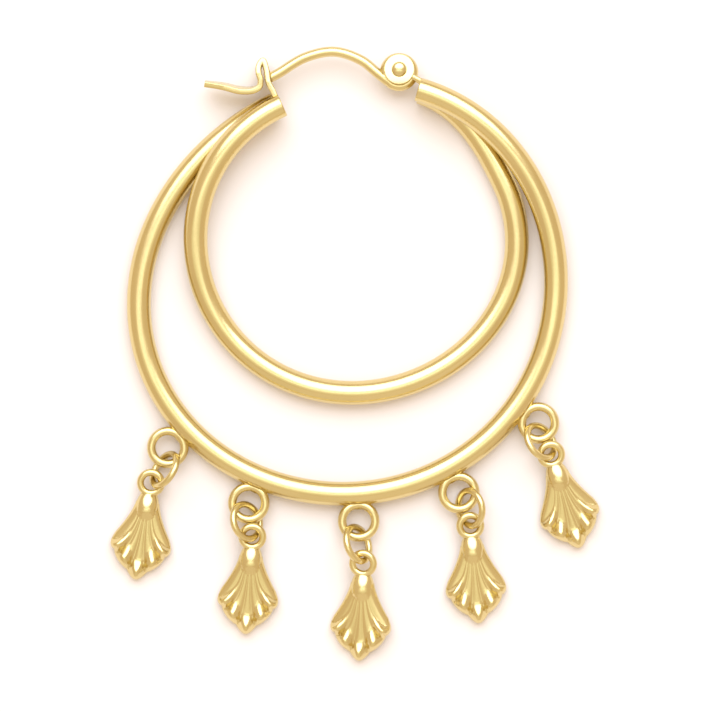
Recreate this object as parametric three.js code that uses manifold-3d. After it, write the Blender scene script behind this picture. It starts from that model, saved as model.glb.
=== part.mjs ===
// Chandelier earring: a crescent of two tube hoops with a hinged ear wire and five shell charms.
// Millimetres. The earring lies flat: +Z is up from the surface that it rests on, +Y points
// from the charms to the ear wire, and +X to the hinge. The origin is under the middle of its box.
import * as THREE from "three";
import { mergeVertices } from "three/addons/utils/BufferGeometryUtils.js";
import Module from "manifold-3d";

const wasm = await Module();
wasm.setup();

// ---- Driving dimensions ----

// Hoops: closed tubes, each a little out of round. A centreline's radius about its centre is
// radius + oval * cos(2 (a - ovalAngle)) + egg * cos(3 (a - eggAngle)), with angles in degrees.
const TUBE_RADIUS = 0.875;
const OUTER = {
  centre: [0, 0],
  radius: 15.02,
  oval: 0.44,
  ovalAngle: 37,
  egg: 0.168,
  eggAngle: 71.6,
  leftEnd: 111.2,
  rightEnd: 431.2,
  steps: 72,
};
const INNER = {
  centre: [0.42, 3.51],
  radius: 11.31,
  oval: 0.367,
  ovalAngle: -2.3,
  egg: 0.094,
  eggAngle: 6.9,
  leftEnd: 118,
  rightEnd: 426.5,
  steps: 60,
};
const TUBE_SIDES = 12;

// Where the hoops meet, one tube climbs on the other and is soldered along it: the inner one
// lies on top at the catch end, and the outer one at the hinge end.
const CLIMB = 1.4;
const INNER_CLIMB = { from: 222, to: 136 };
const OUTER_CLIMB = { from: 342, to: 420 };
// Towards the hinge the inner tube leaves its own curve to run under the outer one.
const INNER_FLARE = { from: 382, to: 422, distance: 0.95 };

// Everything at the ear wire is centred between the two levels of the tubes.
const WIRE_LEVEL = TUBE_RADIUS + CLIMB / 2;

// Ear wire and its hinge
const WIRE_RADIUS = 0.39;
const WIRE_SIDES = 10;
const WIRE_STEPS = 30;
const PIVOT = [3.61, 15.98];
// The wire's eye hangs a little low on the rivet
const EYE_RADIUS = 1.02;
const EYE_DROP = 0.16;
const EYE_TANGENT_ANGLE = 233;
const WIRE_POINTS = [[-5.92, 15.33], [-5.2, 15.7], [-3.2, 16.88], [-1.1, 17.3], [0.85, 16.68], [2.1, 15.7]];
const RIVET_RADIUS = 0.36;
const RIVET_HEAD_RADIUS = 0.54;
const RIVET_HEAD_HEIGHT = 0.26;
// Where the domed head turns from its steep side to its flatter top, as a part of its radius
const RIVET_SHOULDER = 0.7;
const RIVET_SIDES = 16;
const EAR_RADIUS = 1.1;
const EAR_THICKNESS = 0.33;
const EAR_BORE_RADIUS = 0.42;
const EAR_ARM_WIDTH = 0.5;
const EAR_ARM_END = [5.65, 14.9];
const RUNNING_GAP = 0.06;

// Catch: a strip soldered on the inner tube's end, folded over at the top and drawn out
// to the left in a finger tail. Columns: x and y of the strip's middle, its width and its roll.
const CATCH_THICKNESS = 0.42;
const CATCH_STATIONS = [
  { x: -5.25, y: 13.7, width: 1.9, roll: 0 },
  { x: -5.52, y: 14.35, width: 1.9, roll: 0 },
  { x: -5.87, y: 15.05, width: 1.9, roll: 0 },
  { x: -6, y: 15.9, width: 1.8, roll: 0 },
  { x: -6.26, y: 16.62, width: 1.7, roll: 0 },
  { x: -6.56, y: 16.2, width: 1.8, roll: 0 },
  { x: -6.58, y: 15.7, width: 1.9, roll: 0 },
  { x: -6.46, y: 15.22, width: 1.9, roll: 2 },
  { x: -6.58, y: 14.74, width: 1.9, roll: 6 },
  { x: -7.05, y: 14.52, width: 1.9, roll: 9 },
  { x: -7.95, y: 14.51, width: 1.9, roll: 10 },
  { x: -9.1, y: 14.78, width: 1.6, roll: 10 },
  { x: -10.5, y: 14.98, width: 1, roll: 10 },
];
const CATCH_STEPS = 48;
// The slot in its right leg that the ear wire's tip snaps into, open at the right
const SLOT_WIDTH = 0.95;
const SLOT = { left: -6.24, right: -4.96, bottom: 14.95, top: 17.35 };

// Hanger rings, soldered face-on to the outer hoop, a little above the level of its middle
const HANGER_RADIUS = 1.2;
const HANGER_WIRE = 0.32;
const HANGER_LEVEL = 0.93;
const SOLDER_DEPTH = 0.38;

// Jump rings and the charms' eyelets
const JUMP_RADIUS = 1.28;
const JUMP_WIRE = 0.25;
const EYELET_RADIUS = 0.77;
const EYELET_WIRE = 0.26;
const RING_SIDES = 8;
const RING_STEPS = 20;

// The five drops, from left to right. hoopAngle is the hanger ring's place on the outer hoop.
// reach and heading lead from the hanger ring's centre to the eyelet's, and charmHeading along
// the charm; headings are turned from straight down, towards +X. jump is the jump ring's centre
// in the frame of that line, with its roll about the line and its tip across it. eyelet is the
// eyelet's height and charmRoll the charm's roll about its own length.
const DROPS = [
  { hoopAngle: 220.9, reach: 2.84, heading: -25.4, charmHeading: -9.5, jump: [0.49, -1.54, 1.36],
    roll: -58.3, tip: -12.8, eyelet: 1.01, charmRoll: 0 },
  { hoopAngle: 244.7, reach: 2.45, heading: 6.2, charmHeading: -4.2, jump: [-0.3, -1.3, 1.23],
    roll: 44.5, tip: -14.4, eyelet: 1.23, charmRoll: 0 },
  { hoopAngle: 272.3, reach: 3.09, heading: 5.9, charmHeading: -2.2, jump: [-0.24, -1.64, 1.31],
    roll: 52.2, tip: -20.6, eyelet: 1.37, charmRoll: -8.4 },
  { hoopAngle: 298.4, reach: 2.54, heading: 18.9, charmHeading: 5.3, jump: [0.41, -1.32, 1.28],
    roll: -48.1, tip: -13.3, eyelet: 1.1, charmRoll: 0 },
  { hoopAngle: 324.9, reach: 2.45, heading: 21.6, charmHeading: 17.4, jump: [-0.35, -1.3, 1.26],
    roll: 46.9, tip: -15.2, eyelet: 1.23, charmRoll: 0 },
];

// Shell charm, in its own frame: the eyelet's middle at the origin, the tip towards -Y and the
// flat back down. Flutes fan out from a root under the eyelet to a scalloped edge. The rows are
// places on that edge, from the tip's middle round to the side: the ends of three flutes, then
// the line that the side's edge is heading for. down is the distance from the eyelet's middle.
const SHELL_EDGE = [
  { x: 0, down: 7.22 },
  { x: 1.47, down: 6 },
  { x: 2.24, down: 4.8 },
  { x: 1.8, down: 3.5 },
];
const FLUTE_SPACING = 0.4;
// The flutes start this much closer together than they end, so they curve outwards
const FLUTE_GATHER = 0.45;
const NOTCH_DEPTH = 0.04;
const SHELL_ROOT_DOWN = 1.45;
const SHELL_ROOT_HALF_WIDTH = 0.85;
const SHELL_WAIST = 1.4;
const SHELL_RIM = 0.3;
const SHELL_CROWN = 0.42;
// Each flute is a low ridge that ends in a rounded lobe; low and high are parts of its length
const FLUTE_HEIGHT = 0.12;
const FLUTE_ROUNDNESS = 0.8;
const LOBE = { low: 0.7, high: 0.88, height: 0.3 };
const SHELL_STEPS_ACROSS = 20;
const SHELL_STEPS_DOWN = 10;
const SHOULDER_START = 0.84;
// The boss is the round bead between the eyelet and the flutes
const BOSS = { down: 1.38, halfWidth: 0.76, halfLength: 0.68, top: 0.6, sides: 12, rows: 8 };

const GOLD = 0xd8a447;
// Vertices closer than the first are one, and joins are cleared of edges shorter than the second
const MERGE_DISTANCE = 1e-4;
const SHORTEST_EDGE = 0.004;

// The charms' resting pitch is found by halving a range of angles
const STEEPEST_PITCH = 20;
const PITCH_HALVINGS = 30;

// ---- Helpers ----

const radians = THREE.MathUtils.degToRad;
const { smoothstep, lerp, clamp } = THREE.MathUtils;

function toManifold(geometry) {
  const plain = geometry.clone();
  plain.deleteAttribute("normal");
  plain.deleteAttribute("uv");
  const merged = mergeVertices(plain, MERGE_DISTANCE);
  const mesh = new wasm.Mesh({
    numProp: 3,
    vertProperties: new Float32Array(merged.attributes.position.array),
    triVerts: new Uint32Array(merged.index.array),
  });
  return new wasm.Manifold(mesh);
}

function toGeometry(manifold) {
  const mesh = manifold.asOriginal().simplify(SHORTEST_EDGE).getMesh();
  const geometry = new THREE.BufferGeometry();
  geometry.setAttribute("position", new THREE.BufferAttribute(mesh.vertProperties, 3));
  geometry.setIndex(new THREE.BufferAttribute(mesh.triVerts, 1));
  geometry.computeVertexNormals();
  return geometry;
}

function join(geometries) {
  return geometries.map(toManifold).reduce((whole, piece) => whole.add(piece));
}

function geometryFrom(points, triangles) {
  const geometry = new THREE.BufferGeometry();
  geometry.setAttribute("position", new THREE.Float32BufferAttribute(points.flat(), 3));
  geometry.setIndex(triangles);
  return geometry;
}

function goldMesh(name, geometry) {
  const material = new THREE.MeshStandardMaterial({ color: GOLD, roughness: 0.22, metalness: 1 });
  const mesh = new THREE.Mesh(geometry, material);
  mesh.name = name;
  return mesh;
}

// A round rod or tube, closed at both ends, along a curve
function rod(curve, radius, sides, steps) {
  const section = new THREE.Shape();
  for (let i = 0; i < sides; i += 1) {
    const angle = (2 * Math.PI * i) / sides;
    const point = [radius * Math.cos(angle), radius * Math.sin(angle)];
    if (i === 0) section.moveTo(...point);
    else section.lineTo(...point);
  }
  return new THREE.ExtrudeGeometry(section, { steps, extrudePath: curve });
}

// ---- Hoops ----

function hoopRadius(hoop, degrees) {
  const oval = hoop.oval * Math.cos(radians(2 * (degrees - hoop.ovalAngle)));
  const egg = hoop.egg * Math.cos(radians(3 * (degrees - hoop.eggAngle)));
  return hoop.radius + oval + egg;
}

function outerPoint(degrees, outwards = 0) {
  const radius = hoopRadius(OUTER, degrees) + outwards;
  const climb = CLIMB * smoothstep(degrees, OUTER_CLIMB.from, OUTER_CLIMB.to);
  const angle = radians(degrees);
  return new THREE.Vector3(
    OUTER.centre[0] + radius * Math.cos(angle),
    OUTER.centre[1] + radius * Math.sin(angle),
    TUBE_RADIUS + climb,
  );
}

function innerPoint(degrees) {
  const flare = INNER_FLARE.distance * smoothstep(degrees, INNER_FLARE.from, INNER_FLARE.to);
  const radius = hoopRadius(INNER, degrees) + flare;
  const climb = CLIMB * smoothstep(-degrees, -INNER_CLIMB.from, -INNER_CLIMB.to);
  const angle = radians(degrees);
  return new THREE.Vector3(
    INNER.centre[0] + radius * Math.cos(angle),
    INNER.centre[1] + radius * Math.sin(angle),
    TUBE_RADIUS + climb,
  );
}

class HoopCurve extends THREE.Curve {
  constructor(hoop, pointAt) {
    super();
    this.hoop = hoop;
    this.pointAt = pointAt;
  }

  getPoint(t, target = new THREE.Vector3()) {
    const degrees = lerp(this.hoop.leftEnd, this.hoop.rightEnd, t);
    return target.copy(this.pointAt(degrees));
  }
}

function hoopTube(hoop, pointAt) {
  return rod(new HoopCurve(hoop, pointAt), TUBE_RADIUS, TUBE_SIDES, hoop.steps);
}

// ---- Hanger rings ----

function hangerCentre(drop) {
  return outerPoint(drop.hoopAngle, TUBE_RADIUS + HANGER_RADIUS + HANGER_WIRE - SOLDER_DEPTH);
}

function hangerRing(drop) {
  const centre = hangerCentre(drop);
  const ring = new THREE.TorusGeometry(HANGER_RADIUS, HANGER_WIRE, RING_SIDES, RING_STEPS);
  return ring.translate(centre.x, centre.y, HANGER_LEVEL);
}

// ---- Catch ----

function catchStation(t) {
  const last = CATCH_STATIONS.length - 1;
  const index = Math.min(Math.floor(t * last), last - 1);
  const part = t * last - index;
  const [from, to] = [CATCH_STATIONS[index], CATCH_STATIONS[index + 1]];
  return { width: lerp(from.width, to.width, part), roll: lerp(from.roll, to.roll, part) };
}

// The strip as a row of rectangular sections, each turned by its roll
function catchStrip() {
  const middle = new THREE.CatmullRomCurve3(
    CATCH_STATIONS.map(({ x, y }) => new THREE.Vector3(x, y, WIRE_LEVEL)),
  );
  const points = [];
  const triangles = [];
  for (let i = 0; i <= CATCH_STEPS; i += 1) {
    const t = i / CATCH_STEPS;
    const { width, roll } = catchStation(t);
    const along = middle.getTangent(t);
    const side = new THREE.Vector3(-along.y, along.x, 0);
    const up = new THREE.Vector3(0, 0, 1);
    side.applyAxisAngle(along, -radians(roll)).multiplyScalar(CATCH_THICKNESS / 2);
    up.applyAxisAngle(along, -radians(roll)).multiplyScalar(width / 2);
    const centre = middle.getPoint(t);
    for (const [a, b] of [[-1, -1], [1, -1], [1, 1], [-1, 1]]) {
      points.push(centre.clone().addScaledVector(side, a).addScaledVector(up, b).toArray());
    }
  }
  for (let i = 0; i < CATCH_STEPS; i += 1) {
    for (let corner = 0; corner < 4; corner += 1) {
      const a = 4 * i + corner;
      const b = 4 * i + ((corner + 1) % 4);
      triangles.push(a, b, b + 4, a, b + 4, a + 4);
    }
  }
  const end = 4 * CATCH_STEPS;
  triangles.push(0, 2, 1, 0, 3, 2, end, end + 1, end + 2, end, end + 2, end + 3);
  return geometryFrom(points, triangles);
}

function catchSlot() {
  const { left, right, bottom, top } = SLOT;
  const slot = new THREE.BoxGeometry(right - left, top - bottom, SLOT_WIDTH);
  return slot.translate((left + right) / 2, (bottom + top) / 2, WIRE_LEVEL);
}

// ---- Hinge ----

// One ear: a disc round the pivot with an arm to the tube's end, bored for the rivet
function hingeEar(level) {
  const arm = new THREE.Vector2(EAR_ARM_END[0] - PIVOT[0], EAR_ARM_END[1] - PIVOT[1]);
  const heading = arm.angle();
  const spread = Math.asin(EAR_ARM_WIDTH / 2 / EAR_RADIUS);
  const side = new THREE.Vector2(-Math.sin(heading), Math.cos(heading)).multiplyScalar(EAR_ARM_WIDTH / 2);
  const outline = new THREE.Shape();
  outline.moveTo(arm.x - side.x, arm.y - side.y);
  outline.lineTo(arm.x + side.x, arm.y + side.y);
  outline.absarc(0, 0, EAR_RADIUS, heading + spread, heading + 2 * Math.PI - spread);
  const bore = new THREE.Path();
  bore.absarc(0, 0, EAR_BORE_RADIUS, 0, 2 * Math.PI, true);
  outline.holes.push(bore);
  const ear = new THREE.ExtrudeGeometry(outline, {
    depth: EAR_THICKNESS,
    bevelEnabled: false,
    curveSegments: RIVET_SIDES / 2,
  });
  return ear.translate(PIVOT[0], PIVOT[1], level);
}

const EAR_FRONT = WIRE_LEVEL + WIRE_RADIUS + RUNNING_GAP;
const EAR_BACK = WIRE_LEVEL - WIRE_RADIUS - RUNNING_GAP - EAR_THICKNESS;

function doubleHoop() {
  const solid = join([
    hoopTube(OUTER, outerPoint),
    hoopTube(INNER, innerPoint),
    ...DROPS.map(hangerRing),
    hingeEar(EAR_FRONT),
    hingeEar(EAR_BACK),
  ]);
  const strip = toManifold(catchStrip()).subtract(toManifold(catchSlot()));
  return goldMesh("double_hoop", toGeometry(solid.add(strip)));
}

// The rivet: a shaft between two low domed heads
function hingeRivet() {
  const bottom = EAR_BACK - RUNNING_GAP;
  const top = EAR_FRONT + EAR_THICKNESS + RUNNING_GAP;
  const profile = [
    [0, bottom - RIVET_HEAD_HEIGHT],
    [RIVET_HEAD_RADIUS * RIVET_SHOULDER, bottom - RIVET_HEAD_HEIGHT * RIVET_SHOULDER],
    [RIVET_HEAD_RADIUS, bottom],
    [RIVET_RADIUS, bottom],
    [RIVET_RADIUS, top],
    [RIVET_HEAD_RADIUS, top],
    [RIVET_HEAD_RADIUS * RIVET_SHOULDER, top + RIVET_HEAD_HEIGHT * RIVET_SHOULDER],
    [0, top + RIVET_HEAD_HEIGHT],
  ].map(([x, y]) => new THREE.Vector2(x, y));
  const rivet = new THREE.LatheGeometry(profile, RIVET_SIDES);
  rivet.rotateX(Math.PI / 2);
  return goldMesh("hinge_rivet", rivet.translate(PIVOT[0], PIVOT[1], 0));
}

// ---- Ear wire ----

function earWire() {
  const eyeCentre = new THREE.Vector2(PIVOT[0], PIVOT[1] - EYE_DROP);
  const tangentAngle = radians(EYE_TANGENT_ANGLE);
  const tangent = new THREE.Vector2(Math.cos(tangentAngle), Math.sin(tangentAngle));
  tangent.multiplyScalar(EYE_RADIUS).add(eyeCentre);
  const route = [...WIRE_POINTS, tangent.toArray()].map(([x, y]) => new THREE.Vector3(x, y, WIRE_LEVEL));
  const wire = rod(new THREE.CatmullRomCurve3(route), WIRE_RADIUS, WIRE_SIDES, WIRE_STEPS);
  const eye = new THREE.TorusGeometry(EYE_RADIUS, WIRE_RADIUS, WIRE_SIDES, RING_STEPS);
  eye.translate(eyeCentre.x, eyeCentre.y, WIRE_LEVEL);
  return goldMesh("ear_wire", toGeometry(join([wire, eye])));
}

// ---- Charms ----

const SHELL_OUTLINE = new THREE.SplineCurve([
  ...SHELL_EDGE.slice(1).reverse().map(({ x, down }) => new THREE.Vector2(-x, -down)),
  ...SHELL_EDGE.map(({ x, down }) => new THREE.Vector2(x, -down)),
]);

// How far a place across the shell, from -1 to 1, stands on a flute: 1 on its ridge, 0 between two
function onFlute(across) {
  return Math.abs(Math.cos((Math.PI * across) / FLUTE_SPACING)) ** FLUTE_ROUNDNESS;
}

// Plan of the shell: along runs from 0 at the root to 1 at the edge
function shellPlan(across, along) {
  const reach = FLUTE_SPACING * (SHELL_EDGE.length - 1);
  const edge = SHELL_OUTLINE.getPoint((across + reach) / (2 * reach));
  const outwards = along * (1 - NOTCH_DEPTH * (1 - onFlute(across)));
  return [
    lerp(across * SHELL_ROOT_HALF_WIDTH, edge.x, outwards ** SHELL_WAIST),
    lerp(-SHELL_ROOT_DOWN, edge.y, outwards),
  ];
}

function shellHeight(across, along) {
  const crown = SHELL_CROWN * (1 - across ** 4);
  const gathered = lerp(FLUTE_GATHER, 1, along ** 3);
  const place = clamp(across / gathered, -1, 1);
  const lobe = LOBE.height * smoothstep(along, LOBE.low, LOBE.high);
  const flute = onFlute(place) * (FLUTE_HEIGHT * along + lobe);
  const past = Math.max(0, (along - SHOULDER_START) / (1 - SHOULDER_START));
  return SHELL_RIM + (crown + flute) * Math.sqrt(1 - past ** 2);
}

function shellBody() {
  const points = [];
  const triangles = [];
  const columns = SHELL_STEPS_ACROSS + 1;
  for (const face of [0, 1]) {
    for (let i = 0; i <= SHELL_STEPS_DOWN; i += 1) {
      // the rows close up towards the edge, where the flutes turn down
      const along = Math.sin(((i / SHELL_STEPS_DOWN) * Math.PI) / 2);
      for (let j = 0; j < columns; j += 1) {
        const across = (2 * j) / SHELL_STEPS_ACROSS - 1;
        const height = face === 0 ? 0 : shellHeight(across, along);
        points.push([...shellPlan(across, along), height - EYELET_WIRE]);
      }
    }
  }
  const top = columns * (SHELL_STEPS_DOWN + 1);
  const quad = (a, b, c, d) => triangles.push(a, b, c, a, c, d);
  for (let i = 0; i < SHELL_STEPS_DOWN; i += 1) {
    for (let j = 0; j < SHELL_STEPS_ACROSS; j += 1) {
      const a = i * columns + j;
      quad(a, a + 1, a + columns + 1, a + columns);
      quad(top + a, top + a + columns, top + a + columns + 1, top + a + 1);
    }
    const left = i * columns;
    const right = left + SHELL_STEPS_ACROSS;
    quad(left, left + columns, top + left + columns, top + left);
    quad(right + columns, right, top + right, top + right + columns);
  }
  for (let j = 0; j < SHELL_STEPS_ACROSS; j += 1) {
    const tip = SHELL_STEPS_DOWN * columns + j;
    quad(j + 1, j, top + j, top + j + 1);
    quad(tip, tip + 1, top + tip + 1, top + tip);
  }
  return geometryFrom(points, triangles);
}

function shellCharmGeometry() {
  const boss = new THREE.SphereGeometry(1, BOSS.sides, BOSS.rows);
  const bossHalfHeight = (BOSS.top + EYELET_WIRE) / 2;
  boss.rotateX(Math.PI / 2).scale(BOSS.halfWidth, BOSS.halfLength, bossHalfHeight);
  boss.translate(0, -BOSS.down, bossHalfHeight - EYELET_WIRE);
  const eyelet = new THREE.TorusGeometry(EYELET_RADIUS, EYELET_WIRE, RING_SIDES, RING_STEPS);
  return toGeometry(join([shellBody(), boss, eyelet]));
}

// The pitch at which the charm, held up at its eyelet, just lies on the surface
function restPitch(geometry, drop) {
  let [low, high] = [0, radians(STEEPEST_PITCH)];
  for (let i = 0; i < PITCH_HALVINGS; i += 1) {
    const pitch = (low + high) / 2;
    const turn = new THREE.Euler(pitch, radians(drop.charmRoll), 0, "ZXY");
    const turned = geometry.clone().applyMatrix4(new THREE.Matrix4().makeRotationFromEuler(turn));
    turned.computeBoundingBox();
    if (drop.eyelet + turned.boundingBox.min.z > 0) low = pitch;
    else high = pitch;
  }
  return low;
}

// ---- Assembly ----

function dropGroup(drop, number) {
  const group = new THREE.Group();
  const hanger = hangerCentre(drop);
  group.position.set(hanger.x, hanger.y, 0);
  group.rotation.z = radians(drop.heading);

  const jump = new THREE.TorusGeometry(JUMP_RADIUS, JUMP_WIRE, RING_SIDES, RING_STEPS);
  const jumpRing = goldMesh(`jump_ring_${number}`, jump);
  jumpRing.position.set(...drop.jump);
  jumpRing.rotation.set(radians(drop.tip), radians(drop.roll), 0);

  const charm = goldMesh(`shell_charm_${number}`, shellCharmGeometry());
  const swing = radians(drop.charmHeading - drop.heading);
  charm.position.set(0, -drop.reach, drop.eyelet);
  charm.rotation.set(restPitch(charm.geometry, drop), radians(drop.charmRoll), swing, "ZXY");

  group.add(jumpRing, charm);
  return group;
}

const earring = new THREE.Group();
earring.add(doubleHoop(), earWire(), hingeRivet());
DROPS.forEach((drop, index) => earring.add(dropGroup(drop, index + 1)));

const box = new THREE.Box3().setFromObject(earring, true);
const middle = box.getCenter(new THREE.Vector3());
earring.position.set(-middle.x, -middle.y, -box.min.z);

export default earring;
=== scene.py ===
"""Looks for the chandelier earring: polished gold pieces, a pale floor and a soft studio light."""
import math

import bmesh
import bpy
import numpy as np
from mathutils import Matrix, Vector


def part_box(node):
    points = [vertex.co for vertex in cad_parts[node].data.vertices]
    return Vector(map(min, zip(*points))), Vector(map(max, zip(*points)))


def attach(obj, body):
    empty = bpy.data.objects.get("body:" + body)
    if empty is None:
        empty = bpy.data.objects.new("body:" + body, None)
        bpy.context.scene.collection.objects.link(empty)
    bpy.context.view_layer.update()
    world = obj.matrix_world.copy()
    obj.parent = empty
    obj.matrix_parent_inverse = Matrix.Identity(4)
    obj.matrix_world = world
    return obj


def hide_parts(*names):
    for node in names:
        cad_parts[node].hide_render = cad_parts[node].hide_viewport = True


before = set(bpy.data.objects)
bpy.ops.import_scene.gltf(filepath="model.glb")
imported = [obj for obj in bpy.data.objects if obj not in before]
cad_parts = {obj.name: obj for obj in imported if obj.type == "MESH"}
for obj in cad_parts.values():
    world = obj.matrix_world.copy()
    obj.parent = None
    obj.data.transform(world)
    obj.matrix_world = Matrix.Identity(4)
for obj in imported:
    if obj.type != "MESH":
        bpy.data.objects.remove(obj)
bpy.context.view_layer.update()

# ---- Driving dimensions, in millimetres and degrees ----
# Places are measured in the hoop frame. Its origin lies under the outer hoop's centre, on the surface
# that the earring lies on, and its axes are those of the CAD model.

MM = 0.001
UP = np.array([0.0, 0.0, 1.0])
# Points closer together than this are taken as one
SAME_POINT = 1e-5

# The two tube hoops. A hoop's radius swells by oval twice and by egg three times a turn, most at
# their angles. Ends are the angles where its tube starts and stops
TUBE_RADIUS = 0.875
OUTER = dict(
    centre=(0, 0), radius=15.02, ends=(111.2, 431.2),
    oval=0.44, oval_angle=37, egg=0.168, egg_angle=71.6,
)
INNER = dict(
    centre=(0.42, 3.51), radius=11.31, ends=(118, 426.5),
    oval=0.367, oval_angle=-2.3, egg=0.094, egg_angle=6.9,
)
# Each tube rises by CLIMB between its two angles, and so crosses over the other. Where the outer one
# does, the inner one also bears outwards under it
CLIMB = 1.4
INNER_CLIMB = (222, 136)
OUTER_CLIMB = (342, 420)
INNER_FLARE = dict(start=382, end=422, distance=0.95)
TUBE_SIDES = 48
TUBE_STEP = 0.25
TUBE_END_ROUND = 0.1
# A rounded end's rings, and how far from it the path's own points are left out, in end roundings
END_RINGS = 7
END_CLEARANCE = 1.5

# Ear wire. The hinge's gaps follow from the CAD wire's radius. The wire is drawn a little slimmer, so
# that its smooth arch stays inside the part's box
PIVOT = (3.61, 15.98)
WIRE_LEVEL = TUBE_RADIUS + CLIMB / 2
WIRE_RADIUS = 0.39
WIRE_DRAWN_RADIUS = 0.368
# The route from the wire's tip in the catch to shortly before the eye
WIRE_POINTS = ((-5.92, 15.33), (-5.2, 15.7), (-3.2, 16.88), (-1.1, 17.3), (0.85, 16.68), (2.1, 15.7))
WIRE_STEPS = 16
WIRE_SIDES = 32
WIRE_TIP_ROUND = 0.25
# The eye's middle is this far towards -Y from the pivot, and the wire runs into it at this angle
EYE_RADIUS = 1.02
EYE_DROP = 0.16
EYE_WIRE_ANGLE = 233
EYE_STEPS = 96

# Hinge rivet. The heads thicken by the fillet towards the shaft, and the domes start this part of a
# quarter turn from their poles
RIVET_RADIUS = 0.36
RIVET_HEAD_RADIUS = 0.54
RIVET_HEAD_HEIGHT = 0.26
RIVET_FILLET = 0.02
RIVET_DOME_START = 0.02
RIVET_DOME_RINGS = 10
RIVET_SIDES = 48

# Hinge ears: bored discs in front of and behind the eye
RUNNING_GAP = 0.06
EAR_RADIUS = 1.1
EAR_THICKNESS = 0.33
EAR_FRONT = WIRE_LEVEL + WIRE_RADIUS + RUNNING_GAP
EAR_BACK = WIRE_LEVEL - WIRE_RADIUS - RUNNING_GAP - EAR_THICKNESS
# The front ear's face falls away by this much a millimetre towards +Y, so that it catches the light
EAR_SLOPE = 0.14
EAR_SIDES = 64
EAR_EDGE_ROUND = 0.06
EAR_EDGE_STEPS = 4
EAR_BORE_RADIUS = 0.42
EAR_BORE_SIDES = 48
# The ears' arms, lifted a little above the ears' lower faces. Their cross-sections stand at these
# parts of the way from the pivot to the arm's end in the tube
EAR_ARM_END = (5.65, 14.9)
EAR_ARM_HALF_WIDTH = 0.19
EAR_ARM_HALF_HEIGHT = 0.14
EAR_ARM_LIFT = 0.01
EAR_ARM_PLACES = (0.42, 0.6, 0.8, 1)
EAR_ARM_SIDES = 24

# Catch strip. Columns: x and y of its middle, its width and its roll
CATCH_THICKNESS = 0.42
CATCH_STATIONS = (
    (-5.25, 13.7, 1.9, 0),
    (-5.52, 14.35, 1.9, 0),
    (-5.87, 15.05, 1.9, 0),
    (-6, 15.9, 1.8, 0),
    (-6.26, 16.62, 1.7, 0),
    (-6.56, 16.2, 1.8, 0),
    (-6.58, 15.7, 1.9, 0),
    (-6.46, 15.22, 1.9, 2),
    (-6.58, 14.74, 1.9, 6),
    (-7.05, 14.52, 1.9, 9),
    (-7.95, 14.51, 1.9, 10),
    (-9.1, 14.78, 1.6, 10),
    (-10.5, 14.98, 1, 10),
)
CATCH_STEPS = 12
CATCH_CORNER = 0.09
CATCH_CORNER_STEPS = 3
SLOT = dict(x=(-6.24, -4.96), y=(14.95, 17.35), height=0.95)

# Round wire rings: hanger rings, jump rings and eyelets. A hanger ring's wire goes this deep into the
# tube, and a bead of solder lies along the tube there
RING_STEPS = 72
RING_SIDES = 24
HANGER_RADIUS = 1.2
HANGER_WIRE = 0.32
HANGER_LEVEL = 0.93
HANGER_DEPTH = 0.38
SOLDER_HALF_SIZES = (0.3, 0.86, 0.27)
SOLDER_OUTWARDS = 0.02
SOLDER_SIDES = 32
JUMP_RADIUS = 1.28
JUMP_WIRE = 0.25
EYELET_RADIUS = 0.77
EYELET_WIRE = 0.26

# The five drops, left to right. Columns: the hanger ring's angle on the outer hoop; the eyelet's
# reach and heading from the hanger ring; the charm's heading; the jump ring's centre, roll and
# tip; the eyelet's height; the charm's roll. Headings are turned from straight down.
DROPS = (
    (220.9, 2.84, -25.4, -9.5, (0.49, -1.54, 1.36), -58.3, -12.8, 1.01, 0),
    (244.7, 2.45, 6.2, -4.2, (-0.3, -1.3, 1.23), 44.5, -14.4, 1.23, 0),
    (272.3, 3.09, 5.9, -2.2, (-0.24, -1.64, 1.31), 52.2, -20.6, 1.37, -8.4),
    (298.4, 2.54, 18.9, 5.3, (0.41, -1.32, 1.28), -48.1, -13.3, 1.1, 0),
    (324.9, 2.45, 21.6, 17.4, (-0.35, -1.3, 1.26), 46.9, -15.2, 1.23, 0),
)
STEEPEST_PITCH = 20
PITCH_HALVINGS = 30

# Shell charm, hanging down from its eyelet. The first three points, as x and distance down, are the
# ends of the middle flute and of the two on one side of it. The last lies past the shell's side
SHELL_EDGE = ((0, 7.21), (1.47, 6), (2.22, 4.8), (1.8, 3.5))
FLUTE_SPACING = 0.4
# The flutes start closer together than they end, so they curve outwards
FLUTE_GATHER = (0.45, 0.93)
NOTCH_DEPTH = 0.04
NOTCH_ROUNDNESS = 0.8
SHELL_ROOT_DOWN = 1.45
SHELL_ROOT_HALF_WIDTH = 0.85
SHELL_WAIST = 1.4
SHELL_RIM = 0.26
SHELL_CROWN = 0.42
SHELL_COLUMNS = 120
SHELL_ROWS = 44
# Each flute is a faint ridge that ends in a rounded lobe. Low and high are the parts of its length
# where the lobe starts and is full. Towards the sides the lobes start up to that much earlier
FLUTE_HEIGHT = 0.12
LOBE = dict(low=0.72, earlier=0.3, high=0.9, height=0.36, roundness=1.0)
SHOULDER_START = 0.85
# The boss swells from the eyelet's base over the shell's root. Up and on are its reaches towards the
# eyelet and the shell from its highest point, fall_up and fall_on how much its crest drops on the
# way, and foot the level that its rounding starts from. Its cross-sections close up towards its two
# ends and stop just short of them
BOSS = dict(
    down=2.05, up=1.48, on=1.1, half_width=0.86, squareness=2.3,
    top=0.68, foot=-0.14, fall_up=0.6, fall_on=0.4,
)
BOSS_END = 0.94
BOSS_BACK_LIFT = 0.01
BOSS_SIDES = 25
BOSS_ROWS = 41

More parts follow.
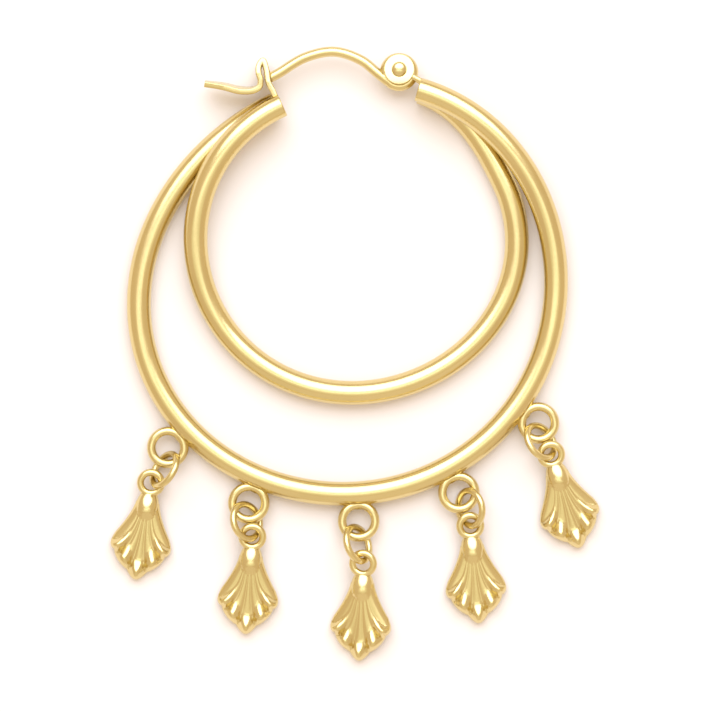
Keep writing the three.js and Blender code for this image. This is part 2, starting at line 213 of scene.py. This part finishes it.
# The hoop frame's place in the CAD model's frame, from where that has the hinge rivet
rivet_low, rivet_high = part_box("hinge_rivet")
RIVET_MIDDLE = (rivet_low + rivet_high) / 2
TO_CAD = Matrix.Translation((
    RIVET_MIDDLE.x - PIVOT[0] * MM,
    RIVET_MIDDLE.y - PIVOT[1] * MM,
    RIVET_MIDDLE.z - WIRE_LEVEL * MM,
)) @ Matrix.Scale(MM, 4)


# ---- Curves ----

def smoothstep(value, low, high):
    """A smooth rise from 0 at low to 1 at high."""
    part = np.clip((np.asarray(value, float) - low) / (high - low), 0, 1)
    return part * part * (3 - 2 * part)


def round_turn(count):
    """That many angles, evenly spaced round a full turn."""
    return np.linspace(0, 2 * math.pi, count, endpoint=False)


def hoop_points(hoop, degrees, outwards, height):
    """Points of a hoop's centreline, outwards of it by that much, at the given heights."""
    radius = hoop["radius"] + hoop["oval"] * np.cos(np.radians(2 * (degrees - hoop["oval_angle"])))
    radius = radius + hoop["egg"] * np.cos(np.radians(3 * (degrees - hoop["egg_angle"]))) + outwards
    angle = np.radians(degrees)
    x = hoop["centre"][0] + radius * np.cos(angle)
    y = hoop["centre"][1] + radius * np.sin(angle)
    return np.stack([x, y, height + 0 * x], axis=-1)


def outer_points(degrees, outwards=0.0):
    """Points beside the outer hoop's centreline, at its level."""
    climb = CLIMB * smoothstep(degrees, *OUTER_CLIMB)
    return hoop_points(OUTER, degrees, outwards, TUBE_RADIUS + climb)


def inner_points(degrees):
    """Points of the inner hoop's centreline."""
    climb = CLIMB * smoothstep(-degrees, -INNER_CLIMB[0], -INNER_CLIMB[1])
    flare = INNER_FLARE["distance"] * smoothstep(degrees, INNER_FLARE["start"], INNER_FLARE["end"])
    return hoop_points(INNER, degrees, flare, TUBE_RADIUS + climb)


def hoop_path(hoop, points_at):
    """The hoop's centreline from end to end, in steps of about TUBE_STEP."""
    low, high = hoop["ends"]
    steps = round(math.radians(high - low) * hoop["radius"] / TUBE_STEP)
    return points_at(np.linspace(low, high, steps + 1))


def between(before, after, start, end, knot):
    """The point that lies between two points as the knot does between start and end."""
    return ((end - knot) * before + (knot - start) * after) / (end - start)


def spline(points, steps_each):
    """A centripetal Catmull-Rom curve through the points, and the place of each step along them."""
    points = [np.array(point, float) for point in points]
    padded = [2 * points[0] - points[1], *points, 2 * points[-1] - points[-2]]
    made, places = [], []
    for stretch in range(len(points) - 1):
        four = padded[stretch:stretch + 4]
        gaps = [np.linalg.norm(after - before) ** 0.5 for before, after in zip(four, four[1:])]
        knots = np.cumsum([0, *gaps])
        last = stretch == len(points) - 2
        for part in np.linspace(0, 1, steps_each + 1)[:None if last else -1]:
            knot = knots[1] + part * (knots[2] - knots[1])
            level = four
            for width in (1, 2):
                level = [
                    between(level[first], level[first + 1], knots[first], knots[first + width], knot)
                    for first in range(4 - width)
                ]
            made.append(between(*level, knots[1], knots[2], knot))
            places.append(stretch + part)
    return np.array(made), np.array(places)


def uniform_spline(points, parts):
    """A uniform Catmull-Rom curve with its end points doubled, at parts of it from 0 to 1."""
    points = np.array(points, float)
    last = len(points) - 1
    place = np.clip(np.asarray(parts, float) * last, 0, last)
    index = np.minimum(place.astype(int), last - 1)
    part = (place - index)[..., None]
    before, start, end, after = (points[np.clip(index + step, 0, last)] for step in (-1, 0, 1, 2))
    start_slope = (end - before) / 2
    end_slope = (after - start) / 2
    cubic = (2 * start - 2 * end + start_slope + end_slope) * part ** 3
    square = (-3 * start + 3 * end - 2 * start_slope - end_slope) * part ** 2
    return cubic + square + start_slope * part + start


# ---- Meshes ----

def placed(name, data):
    """An object in the scene that holds the given mesh, light or camera."""
    made = bpy.data.objects.new(name, data)
    bpy.context.scene.collection.objects.link(made)
    return made


def from_bmesh(name, work):
    """An object with the mesh that was worked on, which is used up."""
    mesh = bpy.data.meshes.new(name)
    work.to_mesh(mesh)
    work.free()
    return placed(name, mesh)


def mesh_object(name, points, faces):
    """An object from points and faces, with doubled points merged and the faces turned outwards."""
    mesh = bpy.data.meshes.new(name)
    mesh.from_pydata(np.asarray(points, float).reshape(-1, 3).tolist(), [], faces)
    work = bmesh.new()
    work.from_mesh(mesh)
    bpy.data.meshes.remove(mesh)
    bmesh.ops.remove_doubles(work, verts=work.verts, dist=SAME_POINT)
    bmesh.ops.recalc_face_normals(work, faces=work.faces)
    return from_bmesh(name, work)


def lofted(name, rings, closed=False):
    """A closed skin over rings of points, each ring closed on itself. Open lofts get flat end faces."""
    count, sides = rings.shape[:2]
    faces = []
    for number in range(count if closed else count - 1):
        here = number * sides
        there = (number + 1) % count * sides
        for side in range(sides):
            after = (side + 1) % sides
            faces.append((here + side, here + after, there + after, there + side))
    if not closed:
        faces.append(tuple(range(sides)))
        faces.append(tuple((count - 1) * sides + side for side in range(sides)))
    return mesh_object(name, rings, faces)


def directions(path, closed=False):
    """The unit tangent, sideways and upward vectors at each point of a path that never stands upright."""
    along = np.roll(path, -1, 0) - np.roll(path, 1, 0) if closed else np.gradient(path, axis=0)
    along = along / np.linalg.norm(along, axis=1, keepdims=True)
    side = np.cross(along, UP)
    side = side / np.linalg.norm(side, axis=1, keepdims=True)
    return along, side, np.cross(side, along)


def level_circle(radius, count):
    """Points round a level circle about the origin."""
    angle = round_turn(count)
    return np.stack([radius * np.cos(angle), radius * np.sin(angle), 0 * angle], axis=1)


def pivot_solid(name, profile, sides):
    """A round solid about the hinge's pivot, from its radii and levels in order."""
    circles = [np.array([*PIVOT, level]) + level_circle(radius, sides) for radius, level in profile]
    return lofted(name, np.array(circles))


def rounded_ends(path, radius, end_round):
    """The path and its radii, with the rings that round off a rod's edge at both ends."""
    along, _, _ = directions(path)
    turn = np.linspace(0, math.pi / 2, END_RINGS)
    inset = end_round * (1 - np.sin(turn))
    edge = radius - end_round + end_round * np.cos(turn)
    heads = path[0] + np.outer(inset[::-1], along[0])
    tails = path[-1] - np.outer(inset, along[-1])
    kept = [
        point for point in path[1:-1]
        if min(np.linalg.norm(point - path[0]), np.linalg.norm(point - path[-1])) > END_CLEARANCE * end_round
    ]
    radii = [*edge[::-1], *([radius] * len(kept)), *edge]
    return np.array([*heads, *kept, *tails]), np.array(radii)


def rod(name, path, radius, sides, end_round=0.0, closed=False):
    """A round rod along a path. Its ends are flat, with an edge rounded by end_round."""
    radii = np.full(len(path), float(radius))
    if end_round:
        path, radii = rounded_ends(path, radius, end_round)
    _, side, up = directions(path, closed)
    angle = round_turn(sides)
    spokes = np.cos(angle)[None, :, None] * side[:, None] + np.sin(angle)[None, :, None] * up[:, None]
    return lofted(name, path[:, None] + radii[:, None, None] * spokes, closed)


def ring(name, radius, wire, steps=RING_STEPS, sides=RING_SIDES):
    """A level ring of round wire about the origin."""
    return rod(name, level_circle(radius, steps), wire, sides, closed=True)


def combined(first, others, operation="UNION"):
    """The first object joined with, or cut by, the others, which are used up."""
    for other in others:
        modifier = first.modifiers.new(operation, "BOOLEAN")
        modifier.operation = operation
        modifier.solver = "MANIFOLD"
        modifier.object = other
    bpy.context.view_layer.update()
    evaluated = first.evaluated_get(bpy.context.evaluated_depsgraph_get())
    result = bpy.data.meshes.new_from_object(evaluated)
    first.modifiers.clear()
    first.data = result
    for other in others:
        bpy.data.objects.remove(other)
    return first


def finished(piece, body, node, material, sharp=40):
    """Puts a piece from the hoop frame in its place, and lets it stand for its CAD node.

    It is shaded smooth, apart from edges that bend by more than sharp degrees.
    """
    piece.data.transform(TO_CAD)
    piece.data.materials.clear()
    piece.data.materials.append(material)
    piece.data.polygons.foreach_set("use_smooth", [True] * len(piece.data.polygons))
    piece.data.set_sharp_from_angle(angle=math.radians(sharp))
    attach(piece, body)
    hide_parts(node)


# ---- Hanger rings ----

def hanger_centre(angle):
    """The x and y of the middle of the hanger ring at that angle of the outer hoop."""
    x, y, _ = outer_points(angle, TUBE_RADIUS + HANGER_RADIUS + HANGER_WIRE - HANGER_DEPTH)
    return x, y


def solder_bead(angle):
    """The solder that has run in on both sides of a hanger ring, as an egg along the tube."""
    work = bmesh.new()
    bmesh.ops.create_uvsphere(work, u_segments=SOLDER_SIDES, v_segments=SOLDER_SIDES // 2, radius=1)
    made = from_bmesh("solder", work)
    place = Matrix.Translation(outer_points(angle, TUBE_RADIUS + SOLDER_OUTWARDS))
    turn = Matrix.Rotation(math.radians(angle), 4, "Z")
    made.data.transform(place @ turn @ Matrix.Diagonal((*SOLDER_HALF_SIZES, 1)))
    return made


def hanger_ring(angle):
    """A ring soldered face-on to the outer hoop."""
    made = ring("hanger", HANGER_RADIUS, HANGER_WIRE)
    x, y = hanger_centre(angle)
    made.data.transform(Matrix.Translation((x, y, HANGER_LEVEL)))
    return made


# ---- Catch ----

def strip_section(half_width, half_height):
    """The outline of the strip's cross-section: a rectangle with its corners rounded."""
    points = []
    for quarter, (right, top) in enumerate(((1, 1), (-1, 1), (-1, -1), (1, -1))):
        for step in range(CATCH_CORNER_STEPS + 1):
            angle = math.pi / 2 * (quarter + step / CATCH_CORNER_STEPS)
            sideways = right * (half_width - CATCH_CORNER) + CATCH_CORNER * math.cos(angle)
            upwards = top * (half_height - CATCH_CORNER) + CATCH_CORNER * math.sin(angle)
            points.append((sideways, upwards))
    return points


def catch_strip():
    """The folded strip, which stands on its edge."""
    x, y, station_widths, station_rolls = zip(*CATCH_STATIONS)
    middle, places = spline([(*point, WIRE_LEVEL) for point in zip(x, y)], CATCH_STEPS)
    stations = np.arange(len(CATCH_STATIONS))
    widths = np.interp(places, stations, station_widths)
    rolls = np.radians(np.interp(places, stations, station_rolls))
    along, right, _ = directions(middle)
    rings = []
    for centre, forward, left, width, roll in zip(middle, along, -right, widths, rolls):
        spin = Matrix.Rotation(-roll, 3, Vector(forward))
        across = np.array(spin @ Vector(left))
        up = np.array(spin @ Vector(UP))
        outline = strip_section(CATCH_THICKNESS / 2, width / 2)
        rings.append([centre + sideways * across + upwards * up for sideways, upwards in outline])
    return lofted("strip", np.array(rings))


def catch():
    """The strip, with the slot cut through it that the ear wire's tip lies in."""
    work = bmesh.new()
    bmesh.ops.create_cube(work, size=1)
    slot = from_bmesh("slot", work)
    left, right = SLOT["x"]
    bottom, top = SLOT["y"]
    middle = ((left + right) / 2, (bottom + top) / 2, WIRE_LEVEL)
    sizes = (right - left, top - bottom, SLOT["height"])
    slot.data.transform(Matrix.Translation(middle) @ Matrix.Diagonal((*sizes, 1)))
    return combined(catch_strip(), [slot], "DIFFERENCE")


# ---- Hinge ears ----

def ear_disc(level, slope):
    """A disc round the pivot with its edges rounded. Its face falls away towards +Y by the slope."""
    work = bmesh.new()
    outline = np.array([*PIVOT, level]) + level_circle(EAR_RADIUS, EAR_SIDES)
    face = work.faces.new([work.verts.new(point) for point in outline])
    raised = bmesh.ops.extrude_face_region(work, geom=[face])["geom"]
    raised_points = [part for part in raised if isinstance(part, bmesh.types.BMVert)]
    bmesh.ops.translate(work, verts=raised_points, vec=(0, 0, EAR_THICKNESS))
    bmesh.ops.recalc_face_normals(work, faces=work.faces)
    rims = [edge for edge in work.edges if abs(edge.verts[0].co.z - edge.verts[1].co.z) < SAME_POINT]
    bmesh.ops.bevel(
        work, geom=rims, offset=EAR_EDGE_ROUND, segments=EAR_EDGE_STEPS, profile=0.5, affect="EDGES",
    )
    # Its thickness stays the same along a line that touches the rivet's head on its -Y side
    for vert in work.verts:
        thicker = slope * (PIVOT[1] - RIVET_HEAD_RADIUS - vert.co.y)
        vert.co.z = level + (vert.co.z - level) * (1 + thicker / EAR_THICKNESS)
    return from_bmesh("ear", work)


def ear_arm(level):
    """The rounded bar that carries an ear from the outer tube's end."""
    pivot = np.array([*PIVOT, level + EAR_ARM_HALF_HEIGHT + EAR_ARM_LIFT])
    reach = np.array([*EAR_ARM_END, pivot[2]]) - pivot
    side = np.cross(reach, UP) / np.linalg.norm(reach)
    turn = round_turn(EAR_ARM_SIDES)[:, None]
    section = EAR_ARM_HALF_WIDTH * np.cos(turn) * side + EAR_ARM_HALF_HEIGHT * np.sin(turn) * UP
    return lofted("arm", np.array([pivot + part * reach + section for part in EAR_ARM_PLACES]))


def hinge_ear(level, slope=0.0):
    """A disc on its arm, bored through for the rivet."""
    ends = (level - EAR_THICKNESS, level + 2 * EAR_THICKNESS)
    bore = pivot_solid("bore", [(EAR_BORE_RADIUS, end) for end in ends], EAR_BORE_SIDES)
    return combined(combined(ear_disc(level, slope), [ear_arm(level)]), [bore], "DIFFERENCE")


def double_hoop():
    """The soldered piece: both tubes, the catch, the hinge ears and the hanger rings."""
    outer = rod("gold_double_hoop", hoop_path(OUTER, outer_points), TUBE_RADIUS, TUBE_SIDES, TUBE_END_ROUND)
    inner = rod("inner", hoop_path(INNER, inner_points), TUBE_RADIUS, TUBE_SIDES, TUBE_END_ROUND)
    parts = [inner, catch(), hinge_ear(EAR_FRONT, EAR_SLOPE), hinge_ear(EAR_BACK)]
    for angle, *_ in DROPS:
        parts += [hanger_ring(angle), solder_bead(angle)]
    return combined(outer, parts)


# ---- Hinge rivet and ear wire ----

def hinge_rivet():
    """A shaft between two domed heads, from the bottom up."""
    bottom = EAR_BACK - RUNNING_GAP
    top = EAR_FRONT + EAR_THICKNESS + RUNNING_GAP
    turn = np.linspace(RIVET_DOME_START, 1, RIVET_DOME_RINGS) * math.pi / 2
    dome = [(RIVET_HEAD_RADIUS * math.sin(angle), RIVET_HEAD_HEIGHT * math.cos(angle)) for angle in turn]
    profile = [(radius, bottom - height) for radius, height in dome]
    profile += [(RIVET_RADIUS, bottom + RIVET_FILLET), (RIVET_RADIUS, top - RIVET_FILLET)]
    profile += [(radius, top + height) for radius, height in dome[::-1]]
    return pivot_solid("gold_hinge_rivet", profile, RIVET_SIDES)


def ear_wire():
    """The arched wire, joined to the eye that turns on the rivet."""
    eye_centre = (PIVOT[0], PIVOT[1] - EYE_DROP)
    turn = math.radians(EYE_WIRE_ANGLE)
    wire_end = (eye_centre[0] + EYE_RADIUS * math.cos(turn), eye_centre[1] + EYE_RADIUS * math.sin(turn))
    route, _ = spline([(*point, WIRE_LEVEL) for point in (*WIRE_POINTS, wire_end)], WIRE_STEPS)
    wire = rod("gold_ear_wire", route, WIRE_DRAWN_RADIUS, WIRE_SIDES, WIRE_TIP_ROUND)
    eye = ring("eye", EYE_RADIUS, WIRE_DRAWN_RADIUS, EYE_STEPS, WIRE_SIDES)
    eye.data.transform(Matrix.Translation((*eye_centre, WIRE_LEVEL)))
    return combined(wire, [eye])


# ---- Shell charm ----
# Across runs from -1 to 1 between the shell's sides, and along from 0 at its root to 1 at its edge.

def on_flute(across, roundness):
    """How close a place is to a flute's crest: 1 on it, 0 in the groove between two flutes."""
    return np.abs(np.cos(math.pi * across / FLUTE_SPACING)) ** roundness


def shell_plan(across, along):
    """The x and y of places on the shell, with its edge notched between the flutes."""
    reach = FLUTE_SPACING * (len(SHELL_EDGE) - 1)
    outline = [(-x, -down) for x, down in SHELL_EDGE[:0:-1]] + [(x, -down) for x, down in SHELL_EDGE]
    edge = uniform_spline(outline, (across + reach) / (2 * reach))
    outwards = along * (1 - NOTCH_DEPTH * (1 - on_flute(across, NOTCH_ROUNDNESS)))
    root = across * SHELL_ROOT_HALF_WIDTH
    x = root + (edge[..., 0] - root) * outwards ** SHELL_WAIST
    y = -SHELL_ROOT_DOWN + (edge[..., 1] + SHELL_ROOT_DOWN) * outwards
    return x, y


def shell_height(across, along):
    """The height of the crowned and fluted top, which turns down to the rim at the edge."""
    crown = SHELL_CROWN * (1 - across ** 4)
    gathered = FLUTE_GATHER[0] + (FLUTE_GATHER[1] - FLUTE_GATHER[0]) * along ** 3
    place = np.clip(across / gathered, -1, 1)
    lobe = LOBE["height"] * smoothstep(along, LOBE["low"] - LOBE["earlier"] * place ** 2, LOBE["high"])
    flute = on_flute(place, LOBE["roundness"]) * (FLUTE_HEIGHT * along + lobe)
    past = np.clip((along - SHOULDER_START) / (1 - SHOULDER_START), 0, 1)
    return SHELL_RIM + (crown + flute) * np.sqrt(1 - past ** 2)


def shell_body():
    """The fluted top and the flat back, on the same grid and joined round the edge."""
    across = np.linspace(-1, 1, SHELL_COLUMNS + 1)[None, :]
    # Rows close up towards the edge, where the flutes turn down
    along = np.sin(np.linspace(0, math.pi / 2, SHELL_ROWS + 1))[:, None]
    across, along = np.broadcast_arrays(across, along)
    x, y = shell_plan(across, along)
    top = np.stack([x, y, shell_height(across, along) - EYELET_WIRE], axis=-1)
    back = np.stack([x, y, 0 * x - EYELET_WIRE], axis=-1)
    grid = np.arange(x.size).reshape(x.shape)
    top_start = x.size
    faces = []
    for row, next_row in zip(grid.tolist(), grid[1:].tolist()):
        for here, after, far_after, far in zip(row, row[1:], next_row[1:], next_row):
            faces.append((here, after, far_after, far))
            faces.append((top_start + here, top_start + far, top_start + far_after, top_start + after))
    rim = np.concatenate([grid[:-1, 0], grid[-1, :-1], grid[:0:-1, -1], grid[0, :0:-1]]).tolist()
    for here, after in zip(rim, rim[1:] + rim[:1]):
        faces.append((here, after, top_start + after, top_start + here))
    return mesh_object("shell", np.concatenate([back.reshape(-1, 3), top.reshape(-1, 3)]), faces)


def boss():
    """The drop-shaped neck of the charm, as cross-sections from the eyelet on to the shell."""
    turn = np.linspace(0, math.pi, BOSS_SIDES)
    back = BOSS_BACK_LIFT - EYELET_WIRE
    rings = []
    for place in np.sin(np.linspace(-BOSS_END, BOSS_END, BOSS_ROWS) * math.pi / 2):
        if place < 0:
            y = -BOSS["down"] - place * BOSS["up"]
            crest = BOSS["top"] - BOSS["fall_up"] * place ** 2
        else:
            y = -BOSS["down"] - place * BOSS["on"]
            crest = BOSS["top"] - BOSS["fall_on"] * smoothstep(place, 0, 1)
        half_width = BOSS["half_width"] * (1 - abs(place) ** BOSS["squareness"]) ** (1 / BOSS["squareness"])
        x = half_width * np.cos(turn)
        z = BOSS["foot"] + (crest - BOSS["foot"]) * np.sin(turn)
        points = np.stack([x, y + 0 * x, z], axis=1)
        rings.append([*points, (-half_width, y, back), (half_width, y, back)])
    return lofted("boss", np.array(rings))


def shell_charm():
    """The charm with its eyelet's middle at the origin."""
    return combined(shell_body(), [boss(), ring("eyelet", EYELET_RADIUS, EYELET_WIRE)])


# ---- Drops ----

def charm_turn(pitch, roll, swing):
    """The charm's turn about its eyelet: rolled over, then pitched, then swung in plan."""
    return Matrix.Rotation(swing, 4, "Z") @ Matrix.Rotation(pitch, 4, "X") @ Matrix.Rotation(roll, 4, "Y")


def rest_pitch(points, eyelet, roll):
    """The pitch at which the charm, held up at its eyelet, just lies on the surface."""
    low, high = 0.0, math.radians(STEEPEST_PITCH)
    for _ in range(PITCH_HALVINGS):
        pitch = (low + high) / 2
        height_of = np.array(charm_turn(pitch, roll, 0))[2, :3]
        if eyelet + (points @ height_of).min() > 0:
            low = pitch
        else:
            high = pitch
    return low


def drops(material):
    """The loose jump rings, and a charm on each, laid out from their hanger rings."""
    pattern = shell_charm()
    points = np.array([vert.co for vert in pattern.data.vertices])
    for number, drop in enumerate(DROPS, 1):
        angle, reach, heading, charm_heading, jump, jump_roll, tip, eyelet, charm_roll = drop
        x, y = hanger_centre(angle)
        line = Matrix.Translation((x, y, 0)) @ Matrix.Rotation(math.radians(heading), 4, "Z")
        tilt = Matrix.Rotation(math.radians(tip), 4, "X") @ Matrix.Rotation(math.radians(jump_roll), 4, "Y")
        jump_ring = ring(f"gold_jump_ring_{number}", JUMP_RADIUS, JUMP_WIRE)
        jump_ring.data.transform(line @ Matrix.Translation(jump) @ tilt)
        finished(jump_ring, "hoop", f"jump_ring_{number}", material)

        charm = placed(f"gold_shell_charm_{number}", pattern.data.copy())
        roll = math.radians(charm_roll)
        turn = charm_turn(rest_pitch(points, eyelet, roll), roll, math.radians(charm_heading - heading))
        charm.data.transform(line @ Matrix.Translation((0, -reach, eyelet)) @ turn)
        finished(charm, "hoop", f"shell_charm_{number}", material, sharp=50)
    bpy.data.objects.remove(pattern)


# ---- Materials ----

def new_material(name):
    """A material, its nodes and links, and its shader."""
    material = bpy.data.materials.new(name)
    material.use_nodes = True
    tree = material.node_tree
    return material, tree.nodes, tree.links, tree.nodes["Principled BSDF"]


def noise(nodes, scale, detail):
    """A noise texture of that scale and detail."""
    made = nodes.new("ShaderNodeTexNoise")
    made.inputs["Scale"].default_value = scale
    made.inputs["Detail"].default_value = detail
    return made


def colour_ramp(nodes, low, dark, high, light):
    """A ramp from one colour at low to another at high."""
    made = nodes.new("ShaderNodeValToRGB")
    first, second = made.color_ramp.elements
    first.position = low
    first.color = (*dark, 1)
    second.position = high
    second.color = (*light, 1)
    return made


def polished_gold():
    """Polished yellow gold: its colour and gloss change faintly over it, and it has a very fine grain."""
    material, nodes, links, shader = new_material("polished_gold")
    shader.inputs["Metallic"].default_value = 1.0
    place = nodes.new("ShaderNodeTexCoord")

    cloud = noise(nodes, scale=220, detail=4)
    colour = colour_ramp(nodes, low=0.3, dark=(0.705, 0.58, 0.275), high=0.7, light=(0.76, 0.625, 0.305))
    links.new(place.outputs["Object"], cloud.inputs["Vector"])
    links.new(cloud.outputs["Fac"], colour.inputs["Fac"])
    links.new(colour.outputs["Color"], shader.inputs["Base Color"])

    smudge = noise(nodes, scale=700, detail=6)
    gloss = nodes.new("ShaderNodeMapRange")
    gloss.inputs["To Min"].default_value = 0.17
    gloss.inputs["To Max"].default_value = 0.27
    links.new(place.outputs["Object"], smudge.inputs["Vector"])
    links.new(smudge.outputs["Fac"], gloss.inputs["Value"])
    links.new(gloss.outputs["Result"], shader.inputs["Roughness"])

    grain = noise(nodes, scale=2600, detail=3)
    bump = nodes.new("ShaderNodeBump")
    bump.inputs["Strength"].default_value = 0.12
    bump.inputs["Distance"].default_value = 0.00002
    links.new(place.outputs["Object"], grain.inputs["Vector"])
    links.new(grain.outputs["Fac"], bump.inputs["Height"])
    links.new(bump.outputs["Normal"], shader.inputs["Normal"])
    return material


def pale_floor():
    """A matt, slightly pink white, very faintly clouded."""
    material, nodes, links, shader = new_material("pale_floor")
    shader.inputs["Roughness"].default_value = 0.9
    shader.inputs["Specular IOR Level"].default_value = 0.1
    cloud = noise(nodes, scale=90, detail=2)
    colour = colour_ramp(nodes, low=0, dark=(0.87, 0.815, 0.805), high=1, light=(0.91, 0.855, 0.845))
    links.new(cloud.outputs["Fac"], colour.inputs["Fac"])
    links.new(colour.outputs["Color"], shader.inputs["Base Color"])
    return material


# ---- Stage, light and camera, in metres ----

def floor():
    """The pale surface that the earring lies on."""
    half = 1.5
    corners = [(-half, -half, 0), (half, -half, 0), (half, half, 0), (-half, half, 0)]
    made = mesh_object("floor", corners, [(0, 1, 2, 3)])
    made.data.materials.append(pale_floor())


def softbox(name, tilt, distance, size, radiance, colour):
    """An elliptical area light over the earring, tilted from straight above towards +Y in degrees."""
    light = bpy.data.lights.new(name, "AREA")
    light.shape = "ELLIPSE"
    light.size, light.size_y = size
    area = math.pi / 4 * size[0] * size[1]
    light.energy = radiance * math.pi * area
    light.color = colour
    made = placed(name, light)
    away = Vector((0, math.sin(math.radians(tilt)), math.cos(math.radians(tilt))))
    made.location = away * distance
    made.rotation_mode = "QUATERNION"
    made.rotation_quaternion = away.to_track_quat("Z", "Y")


def studio():
    """A warm even surround and four soft lights.

    Key and fill light the earring from its two ends, glow brightens the charms' faces, and strip
    draws the bright line along the hoops' sides.
    """
    world = bpy.data.worlds.new("studio")
    bpy.context.scene.world = world
    world.use_nodes = True
    background = world.node_tree.nodes["Background"]
    background.inputs["Color"].default_value = (0.86, 0.69, 0.51, 1)
    background.inputs["Strength"].default_value = 1.0
    softbox("key", tilt=36, distance=0.5, size=(0.72, 0.52), radiance=3.15, colour=(0.73, 0.85, 1.0))
    softbox("fill", tilt=-58, distance=0.6, size=(1.0, 0.6), radiance=0.16, colour=(0.75, 0.9, 1.0))
    softbox("glow", tilt=-13, distance=0.5, size=(0.8, 0.2), radiance=0.32, colour=(0.7, 1.0, 0.95))
    softbox("strip", tilt=-3, distance=0.5, size=(0.5, 0.12), radiance=1.0, colour=(0.78, 0.88, 1.0))
    bpy.context.scene.view_settings.view_transform = "Standard"


def camera():
    """Looks straight down on the earring. The view width is the frame's width at the tubes' level."""
    distance = 0.3
    view_width = 0.0518
    view_centre = (0.48, -4.785, TUBE_RADIUS)
    aim = TO_CAD @ Vector(view_centre)
    lens = bpy.data.cameras.new("camera")
    lens.sensor_width = 36
    lens.lens = lens.sensor_width * distance / view_width
    lens.clip_start, lens.clip_end = 0.01, 10
    made = placed("camera", lens)
    made.location = (aim.x, aim.y, aim.z + distance)
    bpy.context.scene.camera = made


# ---- Assembly ----

camera()
gold = polished_gold()
finished(double_hoop(), "hoop", "double_hoop", gold, sharp=35)
finished(ear_wire(), "ear_wire", "ear_wire", gold)
finished(hinge_rivet(), "hoop", "hinge_rivet", gold)
drops(gold)
floor()
studio()
